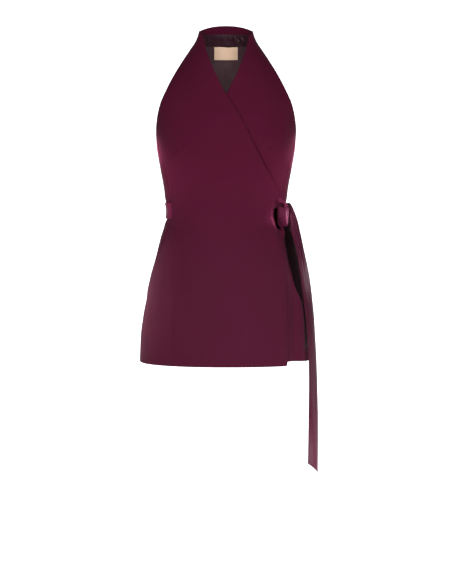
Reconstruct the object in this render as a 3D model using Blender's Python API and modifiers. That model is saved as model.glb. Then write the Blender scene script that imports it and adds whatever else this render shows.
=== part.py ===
"""A halter-neck wrap waistcoat with a satin side tie, hollow, in the form it takes when worn.

Metres, +Z up. The front faces -Y and the wearer's left is +X. The wearer's right front laps over the left
one, and the tie holds both at the left side of the waist. Sizes and tables are in millimetres, heights are
above the hem, and an angle goes round the body from the centre front (0) by the wearer's left (90) to the
centre back (180). The right side has the same angles below zero.
"""

import math
from collections import namedtuple

import bmesh
import bpy
from mathutils import Vector

MM = 0.001

# Walls, and the gaps that keep the pieces apart.
CLOTH = 1.6
LINING = 1.0
SATIN = 1.5
SEAM_GAP = 0.3
WRAP_GAP = 1.8
WRAP_LAYER = CLOTH + WRAP_GAP

# Heights of the cut.
UNDER_HEM = 8.0
NECK_SEAM = 650.0
NECK_LINING_TOP = 675.0
COLLAR_SIDE_TOP = 676.0
COLLAR_RISE = 16.0
COLLAR_ROUNDNESS = 1.4
NAPE = 683.0

# The body's sections are squared a little: 2 would be an ellipse.
SQUARENESS = 2.25
SHOULDER_SEAM = 100.0
BACK_VENT_ANGLE = 88.0
VENT_TOP = 298.0
VENT_OPENS_OVER = 40.0

# The belt, and the slot in the right side seam that it comes out of.
BELT_HEIGHT = 309.0
BELT_WIDTH = 32.0
BELT_GAP = 0.9
SLOT_HALF_ANGLE = 3.2
SLOT_HEIGHTS = (288.0, 328.0)
# Its way in at the slot, by its height over the form, and then degrees past the seam and height over the
# face that it lies on inside.
BELT_AT_SLOT = -1.0
BELT_IN_SLOT = [(2.6, 0.6), (6.0, 0.0)]
BELT_END_BACK = 0.4
# Its way into the knot: along the knot, out from its middle, share of the width, and height.
BELT_IN_KNOT = [(12.8, -3, 0.5, -5), (14, -8, 0.6, -3), (16, -18, 0.8, 4)]

LABEL_WIDTH = 51.0
LABEL_HEIGHTS = (621.0, 636.0, 641.0, 648.0)

# The knot: a band round a core. Both lie along a line that turns this far from +X to +Y.
KNOT_CENTRE = Vector((116.2, -56.6, 298.0))
KNOT_TURN = 32.0
KNOT_HEIGHT = 39.0
KNOT_DEPTH = 12.5
KNOT_TOP_WIDTH = 20.0
KNOT_BOTTOM_WIDTH = 12.0
KNOT_SQUARENESS = 2.5
CORE_RIGHT = 12.0
TAB_HEIGHTS = (328.0, 338.0)
# The tab starts this far (degrees) past the wrap edge, and reaches over the knot, bulging on the way.
TAB_START = 0.8
TAB_REACH = (-9.0, 7.0)
TAB_DEPTH = -1.5
TAB_BULGE = Vector((2, -2, 1))

# Half widths and depths of the body. Its outline is narrower where the armholes cut into it.
Section = namedtuple("Section", "height width outline front back")
SECTIONS = [
    Section(0, 176.5, 176.5, 122, 124),
    Section(60, 173, 173, 120, 125),
    Section(120, 164, 164, 116, 122),
    Section(170, 155.5, 155.5, 110, 114),
    Section(215, 143.5, 143.5, 103, 102),
    Section(255, 133.5, 133.5, 96, 91),
    Section(285, 124, 124, 91, 83),
    Section(305, 121.5, 121.5, 90, 80),
    Section(330, 123.5, 123.5, 91, 79),
    Section(365, 129, 129, 95, 80),
    Section(400, 135.5, 135.5, 104, 84),
    Section(437, 141.5, 141.5, 116, 89),
    Section(464, 143.5, 143.5, 121, 93),
    Section(495, 148, 140.3, 117, 97),
    Section(525, 149.5, 133.3, 107, 99),
    Section(555, 139, 120.5, 95, 98),
    Section(585, 118, 105.3, 82, 95),
    Section(615, 92.5, 87.5, 67, 88),
    Section(640, 72, 72, 53, 79),
    Section(660, 60, 60, 43, 71),
    Section(677, 55, 55, 38, 66),
    Section(695, 53, 53, 34, 62),
]

# The back stands out beside the vent: from the first height to the second, and in again below the belt.
FLARE = 7.0
FLARE_ANGLES = (95.0, 130.0)
FLARE_HEIGHTS = (90.0, 262.0, 273.0, 291.0)

# Free edges, by how far they lie from the centre front plane.
Edge = namedtuple("Edge", "height x")
WRAP_EDGE = [
    Edge(0, 121),
    Edge(13, 123),
    Edge(74, 123),
    Edge(134, 121),
    Edge(209, 117),
    Edge(250, 112),
    Edge(270, 108.5),
    Edge(291, 101.5),
    Edge(313, 97),
    Edge(327, 99.5),
    Edge(341, 104.5),
    Edge(371, 92.7),
    Edge(407, 73.8),
    Edge(449, 52.5),
    Edge(490, 32.8),
    Edge(535, 7),
    Edge(546, 0.8),
    Edge(574, -13),
    Edge(601, -26),
    Edge(622, -34.3),
    Edge(640, -40.7),
]
VENT_EDGE = [
    Edge(0, 162.4),
    Edge(57, 159.4),
    Edge(106, 159.4),
    Edge(121, 156.5),
    Edge(135, 150.5),
    Edge(160, 143.7),
    Edge(182, 139),
    Edge(207, 132.7),
    Edge(231, 126.7),
    Edge(270, 118.8),
    Edge(288, 113.5),
    Edge(298, 111),
]

# The side seam, by its angle: the belt draws it forward at the waist.
Seam = namedtuple("Seam", "height angle")
SIDE_SEAM = [
    Seam(0, 87),
    Seam(170, 85),
    Seam(214, 77),
    Seam(240, 70),
    Seam(278, 65.5),
    Seam(305, 64),
    Seam(335, 64),
    Seam(367, 65),
    Seam(402, 68.5),
    Seam(430, 73),
    Seam(450, 79),
    Seam(464, 87),
]

# Rows of the strap over the shoulder: from the neck edge to the armhole, and to the shoulder seam at last.
Strap = namedtuple("Strap", "neck_angle neck_height outer_angle outer_height")
STRAP = [
    Strap(44, 656, 93, 640.2),
    Strap(59, 668, 96, 640.5),
    Strap(88, 675.5, 98, 640.8),
    Strap(SHOULDER_SEAM, 678, SHOULDER_SEAM, 641),
]

# The hanging end of the tie: its middle line, its width, and how far its face turns from the front towards
# the wearer's left.
Ribbon = namedtuple("Ribbon", "height x y width turn")
TAIL = [
    Ribbon(-220, 176, -35, 32, 53),
    Ribbon(-115, 177, -35, 32, 51),
    Ribbon(-50, 176, -35, 32, 53),
    Ribbon(4, 174.5, -35, 32, 56),
    Ribbon(47, 172, -35, 32, 56),
    Ribbon(88, 169.5, -35, 32, 55),
    Ribbon(120, 166.3, -35, 32, 54),
    Ribbon(163, 160.5, -36, 32, 53),
    Ribbon(190, 156, -36, 32, 53),
    Ribbon(230, 147.5, -37, 31, 51),
    Ribbon(255, 142.5, -38.5, 28, 47),
    Ribbon(279, 137, -40, 23.6, 40),
    Ribbon(291, 135, -41, 19.4, 35),
    Ribbon(303, 133.3, -42, 14.5, 30),
    Ribbon(315, 130.2, -43, 11, 20),
    Ribbon(321, 127.3, -43.5, 9, 15),
]
TAIL_ROWS = [-220, -185, -150, -115, -80, -45, -10, 25, 60, 90, 120, 150, 180, 210, 240, 262, 279, 291]
TAIL_ROWS += [303, 315, 321]
TAIL_CUT = 17.0
TAIL_CURL = 2.5

# Heights of the panels' rows. The slot's and the vent's ends are rows.
BODY_ROWS = [0, 40, 80, 118, 134, 160, 198, 235, 262, 275, 288, 298, 309, 328, 341]
BODY_ROWS += [364, 386, 408, 430, 450, 464]
ARMHOLE_ROWS = [471, 484, 506, 530, 554, 578, 602, 622, 635]
FRONT_COLUMNS = 13
BACK_COLUMNS = 16

COLOURS = {
    "crepe": ((0.09, 0.011, 0.032), 0.75),
    "satin": ((0.19, 0.03, 0.07), 0.35),
    "lining": ((0.04, 0.018, 0.024), 0.5),
    "woven_label": ((0.65, 0.5, 0.36), 0.8),
}


def clear_scene():
    for obj in list(bpy.data.objects):
        bpy.data.objects.remove(obj)


def curve_slopes(heights, values):
    """Slopes at a table's rows that let a cubic through them pass with no overshoot."""
    steps = [
        (values[i + 1] - values[i]) / (heights[i + 1] - heights[i])
        for i in range(len(values) - 1)
    ]
    inner = [
        0.0 if before * after <= 0 else 2 * before * after / (before + after)
        for before, after in zip(steps, steps[1:])
    ]
    return [steps[0], *inner, steps[-1]]


def smooth_at(rows, column, height):
    """The smooth curve through one column of a table, at a height."""
    heights = [row.height for row in rows]
    values = [getattr(row, column) for row in rows]
    slopes = curve_slopes(heights, values)
    height = min(max(height, heights[0]), heights[-1])
    i = max(k for k in range(len(rows) - 1) if heights[k] <= height)
    span = heights[i + 1] - heights[i]
    t = (height - heights[i]) / span
    return (
        values[i] * (1 + 2 * t) * (1 - t) ** 2
        + values[i + 1] * t * t * (3 - 2 * t)
        + span * slopes[i] * t * (1 - t) ** 2
        + span * slopes[i + 1] * t * t * (t - 1)
    )


def eased(value, low, high):
    """0 below low, 1 above high, and a smooth step between them."""
    t = min(max((value - low) / (high - low), 0.0), 1.0)
    return t * t * (3 - 2 * t)


def signed_power(value, power):
    return math.copysign(abs(value) ** power, value)


def form_point(angle, height):
    """A point on the cloth's outer face."""
    sine = math.sin(math.radians(angle))
    cosine = math.cos(math.radians(angle))
    depth = smooth_at(SECTIONS, "front" if cosine > 0 else "back", height)
    x = smooth_at(SECTIONS, "width", height) * signed_power(sine, 2 / SQUARENESS)
    return Vector((x, -depth * signed_power(cosine, 2 / SQUARENESS), height))


def form_normal(angle, height):
    across = form_point(angle + 0.5, height) - form_point(angle - 0.5, height)
    up = form_point(angle, height + 1) - form_point(angle, height - 1)
    return across.cross(up).normalized()


def on_form(angle, height, offset):
    return form_point(angle, height) + form_normal(angle, height) * offset


def angle_of(x, height):
    """The angle on the front half at a distance from the centre front plane."""
    share = min(abs(x) / smooth_at(SECTIONS, "width", height), 1.0)
    return math.copysign(math.degrees(math.asin(share ** (SQUARENESS / 2))), x)


def armhole_edge(height):
    """The angle of an armhole's front edge. Its back edge is as far behind the side."""
    return angle_of(smooth_at(SECTIONS, "outline", height), height)


def wrap_angle(height):
    return angle_of(smooth_at(WRAP_EDGE, "x", height), height)


def side_seam(height):
    return smooth_at(SIDE_SEAM, "angle", height)


def slot_recess(height):
    return SLOT_HALF_ANGLE if SLOT_HEIGHTS[0] <= height <= SLOT_HEIGHTS[1] else 0


def over_layer(angle, _height=0):
    """The right front's inner face winds out by one layer from the right side to the left."""
    return WRAP_LAYER * eased(angle, -45, 45) - CLOTH


def under_layer(angle, _height=0):
    """The left front's inner face winds in by one layer from the left side to the right."""
    return WRAP_LAYER * (eased(angle, -45, 45) - 1) - CLOTH


def back_layer(angle, height):
    beside_vent = 1 - eased(angle, *FLARE_ANGLES)
    rise = eased(height, *FLARE_HEIGHTS[:2]) * (1 - eased(height, *FLARE_HEIGHTS[2:]))
    return FLARE * beside_vent * rise - CLOTH


def material(name):
    found = bpy.data.materials.get(name)
    if found:
        return found
    colour, roughness = COLOURS[name]
    made = bpy.data.materials.new(name)
    made.use_nodes = True
    shader = made.node_tree.nodes["Principled BSDF"]
    shader.inputs["Base Color"].default_value = (*colour, 1)
    shader.inputs["Roughness"].default_value = roughness
    return made


def add_object(name, grid, finish):
    """The named object of a bmesh, in the part's frame."""
    mesh = bpy.data.meshes.new(name)
    grid.to_mesh(mesh)
    grid.free()
    mesh.materials.append(material(finish))
    obj = bpy.data.objects.new(name, mesh)
    bpy.data.collections["waistcoat"].objects.link(obj)
    return obj


def thicken(obj, thickness, inner_gap=None):
    """A wall on the outer side of a surface, or on its inner side with a gap between."""
    wall = obj.modifiers.new("wall", "SOLIDIFY")
    wall.thickness = thickness * MM
    wall.offset = 1 if inner_gap is None else -1 - 2 * inner_gap / thickness
    wall.use_even_offset = True


def trimmed(points, sides, ends):
    """Rows of points, the first and last of each row drawn in by sides, and the outer rows by ends."""
    def towards(point, other, distance):
        return point + (other - point).normalized() * distance

    rows = [
        [towards(row[0], row[1], sides), *row[1:-1], towards(row[-1], row[-2], sides)]
        for row in points
    ]
    low = [towards(point, other, ends) for point, other in zip(rows[0], rows[1])]
    high = [towards(point, other, ends) for point, other in zip(rows[-1], rows[-2])]
    return [low, *rows[1:-1], high]


def cloth(name, points, thickness, finish, inner_gap=None, sides=SEAM_GAP / 2, ends=SEAM_GAP / 2):
    """A piece of cloth: a flat grid laid on rows of points, lowest row first, and thickened.

    The wall lies outside the points. With an inner gap it lies inside them, as a lining lies in its panel.
    """
    rows, columns = len(points) - 1, len(points[0]) - 1
    points = trimmed(points, sides, ends)
    grid = bmesh.new()
    bmesh.ops.create_grid(grid, x_segments=columns, y_segments=rows, size=1)
    bmesh.ops.triangulate(grid, faces=grid.faces, quad_method="FIXED")
    for vertex in grid.verts:
        column = round((vertex.co.x + 1) / 2 * columns)
        row = round((vertex.co.y + 1) / 2 * rows)
        vertex.co = (points[row][column] - ORIGIN) * MM
    obj = add_object(name, grid, finish)
    thicken(obj, thickness, inner_gap)
    return obj


def across(start, end, columns):
    """Stations from one (angle, height) to another."""
    return [
        (
            start[0] + (end[0] - start[0]) * i / columns,
            start[1] + (end[1] - start[1]) * i / columns,
        )
        for i in range(columns + 1)
    ]


def panel_points(ends, columns, layer):
    """A panel's rows of points, from the (angle, height) at both ends of each row."""
    return [
        [on_form(a, h, layer(a, h)) for a, h in across(start, end, columns)]
        for start, end in ends
    ]


def front_ends(side_edge, hem):
    """Rows of the right front, from its side edge or armhole to its wrap edge and neck."""
    body_rows = [hem, *BODY_ROWS[1:]]
    rows = [((-side_edge(height), height), (wrap_angle(height), height)) for height in body_rows]
    for height in ARMHOLE_ROWS:
        rows.append(((-armhole_edge(height), height), (wrap_angle(height), height)))
    for row in STRAP:
        rows.append(((-row.outer_angle, row.outer_height), (-row.neck_angle, row.neck_height)))
    return rows


def slotted_side(height):
    return side_seam(height) - slot_recess(height)


def vented_side(height):
    """The left front's side edge: sewn above the vent and free along it."""
    if height >= VENT_TOP:
        return side_seam(height)
    return angle_of(smooth_at(VENT_EDGE, "x", height), height)


def mirrored(ends):
    return [((-end[0], end[1]), (-start[0], start[1])) for start, end in ends]


def fronts():
    right = panel_points(front_ends(slotted_side, 0), FRONT_COLUMNS, over_layer)
    left = panel_points(mirrored(front_ends(vented_side, UNDER_HEM)), FRONT_COLUMNS, under_layer)
    cloth("front_right", right, CLOTH, "crepe")
    cloth("front_left", left, CLOTH, "crepe")


def back_vent(height):
    """The back's left edge: it swings back from the seam below the top of the vent."""
    opened = eased(VENT_TOP - height, 0, VENT_OPENS_OVER)
    return side_seam(height) + (BACK_VENT_ANGLE - side_seam(height)) * opened


def back_ends():
    rows = [
        ((back_vent(height), height), (360 - side_seam(height) - slot_recess(height), height))
        for height in BODY_ROWS
    ]
    for height in ARMHOLE_ROWS:
        edge = 180 - armhole_edge(height)
        rows.append(((edge, height), (360 - edge, height)))
    for height in (STRAP[-1].outer_height, NECK_SEAM):
        rows.append(((SHOULDER_SEAM, height), (360 - SHOULDER_SEAM, height)))
    return rows


def back():
    """The back, and its lining, bagged out to the same edges."""
    points = panel_points(back_ends(), BACK_COLUMNS, back_layer)
    cloth("back_lining", points, LINING, "lining", SEAM_GAP)
    cloth("back", points, CLOTH, "crepe")


def collar_top(angle):
    return COLLAR_SIDE_TOP + COLLAR_RISE * math.sin(math.radians(angle - 90)) ** COLLAR_ROUNDNESS


def collar():
    """The stand round the back of the neck, and the satin that lines its lower part."""
    angles = [a for a, _ in across((SHOULDER_SEAM, 0), (360 - SHOULDER_SEAM, 0), BACK_COLUMNS)]
    heights = [NECK_SEAM, (NECK_SEAM + NECK_LINING_TOP) / 2, NECK_LINING_TOP]
    stand = [[on_form(a, h, -CLOTH) for a in angles] for h in heights]
    cloth("neck_lining", stand, LINING, "satin", SEAM_GAP, SEAM_GAP)
    stand.append([on_form(a, collar_top(a), -CLOTH) for a in angles])
    cloth("collar", stand, CLOTH, "crepe")


def label():
    """The woven label, on the back lining below the neck seam, with the back's own middle columns."""
    step = (180 - SHOULDER_SEAM) * 2 / BACK_COLUMNS
    rows = []
    for height in LABEL_HEIGHTS:
        half = angle_of(LABEL_WIDTH / 2, height)
        angles = [180 - half, 180 - step, 180, 180 + step, 180 + half]
        rows.append([on_form(angle, height, -CLOTH) for angle in angles])
    cloth("label", rows, LINING, "woven_label", LINING + 3 * SEAM_GAP)


def knot_place(along, out, up):
    """A point by its distance along the knot, out from the body and up from the knot's middle."""
    turn = math.radians(KNOT_TURN)
    axis = Vector((math.cos(turn), math.sin(turn), 0))
    outward = Vector((math.sin(turn), -math.cos(turn), 0))
    return KNOT_CENTRE + axis * along + outward * out + Vector((0, 0, up))


def knot_tube(name, ends, margin, capped):
    """A rounded tube along the knot. Ends gives its reach to the left and right at a share of its height."""
    tube = bmesh.new()
    bmesh.ops.create_cone(tube, segments=24, radius1=1, radius2=1, depth=2, cap_ends=capped)
    for vertex in tube.verts:
        out = signed_power(-vertex.co.x, 2 / KNOT_SQUARENESS)
        up = signed_power(vertex.co.y, 2 / KNOT_SQUARENESS)
        left, right = ends((up + 1) / 2)
        along = right if vertex.co.z > 0 else -left
        place = knot_place(along, out * (KNOT_DEPTH / 2 - margin), up * (KNOT_HEIGHT / 2 - margin))
        vertex.co = (place - ORIGIN) * MM
    return add_object(name, tube, "satin")


def knot():
    """The band that wraps the knot, and the bundle of both ties inside it."""
    def half_width(share):
        return (KNOT_BOTTOM_WIDTH + (KNOT_TOP_WIDTH - KNOT_BOTTOM_WIDTH) * share) / 2

    def band_ends(share):
        return half_width(share), half_width(share)

    def core_ends(share):
        return half_width(share), CORE_RIGHT

    band = knot_tube("knot_band", band_ends, SATIN, False)
    thicken(band, SATIN)
    knot_tube("knot_core", core_ends, SATIN + SEAM_GAP, True)


def belt():
    """The long tie: from the left front's edge out of the slot and round the back, into the knot."""
    inner = under_layer(-90) + CLOTH - SATIN
    slot = 360 - side_seam(BELT_HEIGHT)
    first, last = back_vent(BELT_HEIGHT), slot - slot_recess(BELT_HEIGHT)
    stations = [(angle, BELT_GAP) for angle, _ in across((first, 0), (last, 0), BACK_COLUMNS)[1:]]
    stations.append((slot, BELT_AT_SLOT))
    stations += [(slot + degrees, inner + out) for degrees, out in BELT_IN_SLOT]
    stations.append((360 - wrap_angle(SLOT_HEIGHTS[0]) - BELT_END_BACK, inner))
    rows = []
    for up in (-BELT_WIDTH / 2, 0, BELT_WIDTH / 2):
        row = [
            knot_place(along, out, up * share + lift) for along, out, share, lift in BELT_IN_KNOT
        ]
        for angle, offset in stations:
            lean = form_point(angle, BELT_HEIGHT + up) - form_point(angle, BELT_HEIGHT)
            row.append(on_form(angle, BELT_HEIGHT, offset) + lean)
        rows.append(row)
    cloth("belt", rows, SATIN, "satin")


def tab():
    """The short tie, from the right front's edge to the knot."""
    low, high = (
        on_form(wrap_angle(height) + TAB_START, height, over_layer(90)) for height in TAB_HEIGHTS
    )
    rows = []
    for share in (0, 0.5, 1):
        start = low.lerp(high, share)
        reach = TAB_REACH[0] + (TAB_REACH[1] - TAB_REACH[0]) * share
        end = knot_place(reach, TAB_DEPTH, KNOT_HEIGHT / 2 + SATIN)
        middle = start.lerp(end, 0.5) + TAB_BULGE
        rows.append([start, start.lerp(middle, 0.5), middle, middle.lerp(end, 0.5), end])
    cloth("tie_tab", rows, SATIN, "satin")


def tail():
    """The long tie's hanging end, gathered at the knot and cut on a slant."""
    columns = 4
    rows = []
    for height in TAIL_ROWS:
        middle = Vector((smooth_at(TAIL, "x", height), smooth_at(TAIL, "y", height), height))
        width = smooth_at(TAIL, "width", height)
        turn = math.radians(smooth_at(TAIL, "turn", height))
        along = Vector((math.cos(turn), math.sin(turn), 0))
        outward = Vector((math.sin(turn), -math.cos(turn), 0))
        cut = TAIL_CUT if height == TAIL_ROWS[0] else 0
        row = []
        for i in range(columns + 1):
            share = i / columns - 0.5
            curl = TAIL_CURL * (1 - 4 * share * share) * width / BELT_WIDTH
            raised = Vector((0, 0, cut * (0.5 - share)))
            row.append(middle + along * width * share + outward * curl + raised)
        rows.append(row)
    cloth("tie_tail", rows, SATIN, "satin")


clear_scene()
bpy.context.scene.collection.children.link(bpy.data.collections.new("waistcoat"))
ORIGIN = on_form(180, NAPE, -CLOTH)
fronts()
back()
collar()
label()
belt()
knot()
tab()
tail()
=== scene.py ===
"""The look of the halter-neck wrap waistcoat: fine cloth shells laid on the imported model's form.

Millimetres, with heights above the hem, +X to the wearer's left and the front to -Y. Angles run round the
body from the centre front (0) by the wearer's left (90). The right side's are below zero, or counted on to
360. Yarn, lights and studio are in metres.
"""

import math
from collections import namedtuple

import bpy
import numpy as np
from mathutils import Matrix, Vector


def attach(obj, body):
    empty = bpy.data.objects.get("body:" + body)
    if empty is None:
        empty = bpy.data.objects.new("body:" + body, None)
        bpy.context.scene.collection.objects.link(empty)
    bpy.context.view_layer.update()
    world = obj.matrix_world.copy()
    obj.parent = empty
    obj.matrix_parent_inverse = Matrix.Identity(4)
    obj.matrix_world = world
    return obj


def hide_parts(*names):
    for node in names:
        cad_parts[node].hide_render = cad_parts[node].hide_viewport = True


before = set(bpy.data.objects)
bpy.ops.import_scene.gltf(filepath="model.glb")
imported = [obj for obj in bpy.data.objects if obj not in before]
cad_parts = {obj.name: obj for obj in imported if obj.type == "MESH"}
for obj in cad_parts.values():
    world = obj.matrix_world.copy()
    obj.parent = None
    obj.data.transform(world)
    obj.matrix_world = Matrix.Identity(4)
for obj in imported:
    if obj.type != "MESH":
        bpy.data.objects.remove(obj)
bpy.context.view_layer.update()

MM = 0.001


def table(columns, *rows):
    """A table with named columns."""
    return [*map(namedtuple("Row", columns)._make, rows)]


# ---- the part's form

# Walls, and the gaps that keep the pieces apart.
CLOTH = 1.6
LINING = 1.0
SATIN = 1.5
LABEL_WALL = 0.8
SEAM_GAP = 0.3
WRAP_GAP = 1.8
WRAP_LAYER = CLOTH + WRAP_GAP
# Between these angles each front rises by a layer.
WRAP_TURN = (-45.0, 45.0)

# Heights of the cut.
ARMHOLE_BASE = 464.0
UNDER_HEM = 8.0
NECK_SEAM = 650.0
NECK_LINING_TOP = 675.0
COLLAR_SIDE_TOP = 676.0
COLLAR_RISE = 16.0
COLLAR_ROUNDNESS = 1.4
NAPE = 683.0

# Of the body's sections: 2 would be an ellipse.
SQUARENESS = 2.25
SHOULDER_SEAM = 100.0
SEAM_TOP_ANGLE = 87.0
ARMHOLE_TURN = 7.0
BACK_VENT_ANGLE = 88.0
VENT_TOP = 298.0
VENT_OPENS_OVER = 40.0

# The belt, and its slot in the right side seam, by degrees and heights.
BELT_HEIGHT = 309.0
BELT_WIDTH = 32.0
BELT_GAP = 0.9
SLOT_FRONT = 0.4
SLOT_BACK = 5.2
SLOT_FOOT = 288.0
SLOT_BENDS = (292.5, 325.5, 2.0)

# The back stands out beside the vent.
FLARE = 7.0
FLARE_ANGLES = (95.0, 130.0)
FLARE_HEIGHTS = (90.0, 262.0, 273.0, 291.0)

# Half widths and depths. The outline is narrower at the armholes.
SECTIONS = table(
    "height width outline front back",
    (0, 176.5, 176.5, 122, 124), (60, 173, 173, 120, 125), (120, 164, 164, 116, 122),
    (170, 155.5, 155.5, 110, 114), (215, 143.5, 143.5, 103, 102), (255, 133.5, 133.5, 96, 91),
    (285, 124, 124, 91, 83), (305, 121.5, 121.5, 90, 80), (330, 123.5, 123.5, 91, 79),
    (365, 129, 129, 95, 80), (400, 135.5, 135.5, 104, 84), (437, 141.5, 141.5, 116, 89),
    (464, 143.5, 143.5, 121, 93), (495, 148, 140.3, 117, 97), (525, 149.5, 133.3, 107, 99),
    (555, 139, 120.5, 95, 98), (585, 118, 105.3, 82, 95), (615, 92.5, 87.5, 67, 88), (640, 72, 72, 53, 79),
    (660, 60, 60, 43, 71), (677, 55, 55, 38, 66), (695, 53, 53, 34, 62),
)

# Free edges, by their distance from the centre front plane.
WRAP_EDGE = table(
    "height x",
    (0, 121), (13, 123), (74, 123), (134, 121), (209, 117), (250, 111.3), (262, 108.4), (271, 105.6),
    (279, 102.4), (287, 99.6), (295, 97.3), (303, 96.3), (311, 97.8), (319, 100.5), (328, 102.8),
    (341, 104.5), (371, 92.7), (407, 73.8), (449, 52.5), (490, 32.8), (535, 5), (546, -1.4), (574, -15.2),
    (601, -27.6), (622, -35.7), (640, -42),
)
VENT_EDGE = table(
    "height x",
    (0, 162.2), (27, 160), (57, 159), (106, 157.3), (121, 154.4), (135, 148.4), (160, 140.8),
    (182, 136.8), (207, 131.2), (231, 125.8), (270, 118.8), (288, 113.5), (298, 111),
)

# The belt draws the side seam forward at the waist.
SIDE_SEAM = table(
    "height angle",
    (0, 87), (170, 85), (214, 77), (240, 70), (278, 65.5), (305, 64), (335, 64), (367, 65), (402, 68.5),
    (430, 73), (450, 79), (464, 87),
)

# Rows of the strap over the shoulder, by their rise from its foot.
STRAP = table(
    "rise neck_angle neck_height outer_angle outer_height",
    (22, 44, 656, 93, 640.2), (40, 59, 668, 96, 640.5), (62, 88, 675.5, 98, 640.8),
    (72, SHOULDER_SEAM, 678, SHOULDER_SEAM, 641),
)
STRAP_FROM = 635.0
STRAP_TOP = STRAP_FROM + STRAP[-1].rise
# The body's rows that lead into the strap's.
STRAP_ROWS = (600.0, 612.0, 624.0, STRAP_FROM)


def smooth(knots, values, slopes, at):
    """The curve with these values and slopes at its knots."""
    i = np.clip(np.searchsorted(knots, at, side="right") - 1, 0, len(knots) - 2)
    span = knots[i + 1] - knots[i]
    shape = np.shape(at) + (1,) * (values.ndim - 1)
    t, span = np.reshape((at - knots[i]) / span, shape), np.reshape(span, shape)
    return (
        values[i] * (1 + 2 * t) * (1 - t) ** 2
        + values[i + 1] * t * t * (3 - 2 * t)
        + span * slopes[i] * t * (1 - t) ** 2
        + span * slopes[i + 1] * t * t * (t - 1)
    )


def curve(rows, column, at):
    """The smooth curve through one column of a table, with no overshoot."""
    knots = np.array([row[0] for row in rows], float)
    values = np.array([getattr(row, column) for row in rows], float)
    steps = np.diff(values) / np.diff(knots)
    before, after = steps[:-1], steps[1:]
    same = before * after > 0
    inner = np.where(same, 2 * before * after / np.where(same, before + after, 1), 0)
    slopes = np.concatenate([steps[:1], inner, steps[-1:]])
    return smooth(knots, values, slopes, np.clip(at, knots[0], knots[-1]))


def eased(value, low, high):
    t = np.clip((value - low) / (high - low), 0, 1)
    return t * t * (3 - 2 * t)


def between(value, low, high, soft):
    """1 between low and high, fading to 0 over soft outside them."""
    return eased(value, low - soft, low) * (1 - eased(value, high, high + soft))


def bell(distance, width):
    return np.exp(-((distance / width) ** 2))


def signed_power(value, power):
    return np.sign(value) * np.abs(value) ** power


def unit(vectors):
    return vectors / np.maximum(np.linalg.norm(vectors, axis=-1, keepdims=True), 1e-9)


def form_point(angle, height):
    sine, cosine = np.sin(np.radians(angle)), np.cos(np.radians(angle))
    front, back = (curve(SECTIONS, side, height) for side in ("front", "back"))
    x = curve(SECTIONS, "width", height) * signed_power(sine, 2 / SQUARENESS)
    y = -np.where(cosine > 0, front, back) * signed_power(cosine, 2 / SQUARENESS)
    return np.stack(np.broadcast_arrays(x, y, np.asarray(height, float)), -1)


def form_normal(angle, height):
    across = form_point(angle + 0.5, height) - form_point(angle - 0.5, height)
    up = form_point(angle, height + 1) - form_point(angle, height - 1)
    return unit(np.cross(across, up))


def on_form(angle, height, offset):
    offset = np.asarray(offset, float)[..., None]
    return form_point(angle, height) + form_normal(angle, height) * offset


def angle_of(x, height):
    share = np.minimum(np.abs(x) / curve(SECTIONS, "width", height), 1.0)
    return np.copysign(np.degrees(np.arcsin(share ** (SQUARENESS / 2))), x)


def back_angle(x, height):
    return 180 - angle_of(x, height)


def wrap_angle(height):
    return angle_of(curve(WRAP_EDGE, "x", height), height)


def side_seam(height):
    return curve(SIDE_SEAM, "angle", height)


def over_layer(angle):
    return WRAP_LAYER * eased(angle, *WRAP_TURN) - CLOTH


def under_layer(angle):
    return WRAP_LAYER * (eased(angle, *WRAP_TURN) - 1) - CLOTH


def back_layer(angle, height):
    beside_vent = 1 - eased(angle, *FLARE_ANGLES)
    rise = eased(height, *FLARE_HEIGHTS[:2]) * (1 - eased(height, *FLARE_HEIGHTS[2:]))
    return FLARE * beside_vent * rise - CLOTH


ORIGIN = on_form(180.0, NAPE, -CLOTH)

# ---- creases

# Distances round the body, so that creases are laid out in millimetres of cloth.
ARC_STEP = 3.0
ARC_RISE = 10.0
ARC_ANGLES = np.arange(-180.0, 541.0, ARC_STEP)
ARC_HEIGHTS = np.arange(-20.0, 711.0, ARC_RISE)


def lengths(points, axis):
    """Distance along a grid's rows or columns, from its first line."""
    steps = np.linalg.norm(np.diff(points, axis=axis), axis=-1)
    return np.insert(np.cumsum(steps, axis=axis), 0, 0, axis=axis)


def arc_table():
    table = lengths(form_point(ARC_ANGLES[None, :], ARC_HEIGHTS[:, None]), 1)
    return table - table[:, [np.searchsorted(ARC_ANGLES, 0.0)]]


ARC_TABLE = arc_table()


def interval(value, stations, step):
    """Which interval of even stations a value is in, and its share of that interval."""
    at = np.clip((np.asarray(value, float) - stations[0]) / step, 0, len(stations) - 1.001)
    whole = at.astype(int)
    return whole, at - whole


def arc(angle, height):
    """Distance round the body from the centre front."""
    i, u = interval(angle, ARC_ANGLES, ARC_STEP)
    j, w = interval(height, ARC_HEIGHTS, ARC_RISE)
    low = ARC_TABLE[j, i] * (1 - u) + ARC_TABLE[j, i + 1] * u
    high = ARC_TABLE[j + 1, i] * (1 - u) + ARC_TABLE[j + 1, i + 1] * u
    return low * (1 - w) + high * w


def past(angle, height, start, middle=0.0):
    """Distance round the body past a place, the short way round."""
    whole = arc(360.0, start[1])
    x = arc(angle, height) - arc(*start)
    return x - whole * np.round((x - middle) / whole)


# A soft trough or ridge from place to place, which bows a little and fades out at both ends.
Crease = namedtuple("Crease", "angle0 height0 angle1 height1 width depth bow", defaults=(0.05,))
# A dimple, or a swelling where the depth is below 0.
TUCK = "angle height depth wide tall"
# A ridge beside a line is (distance past it, half width, rise).


def creases(*rows):
    return [Crease(*row) for row in rows]


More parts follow.
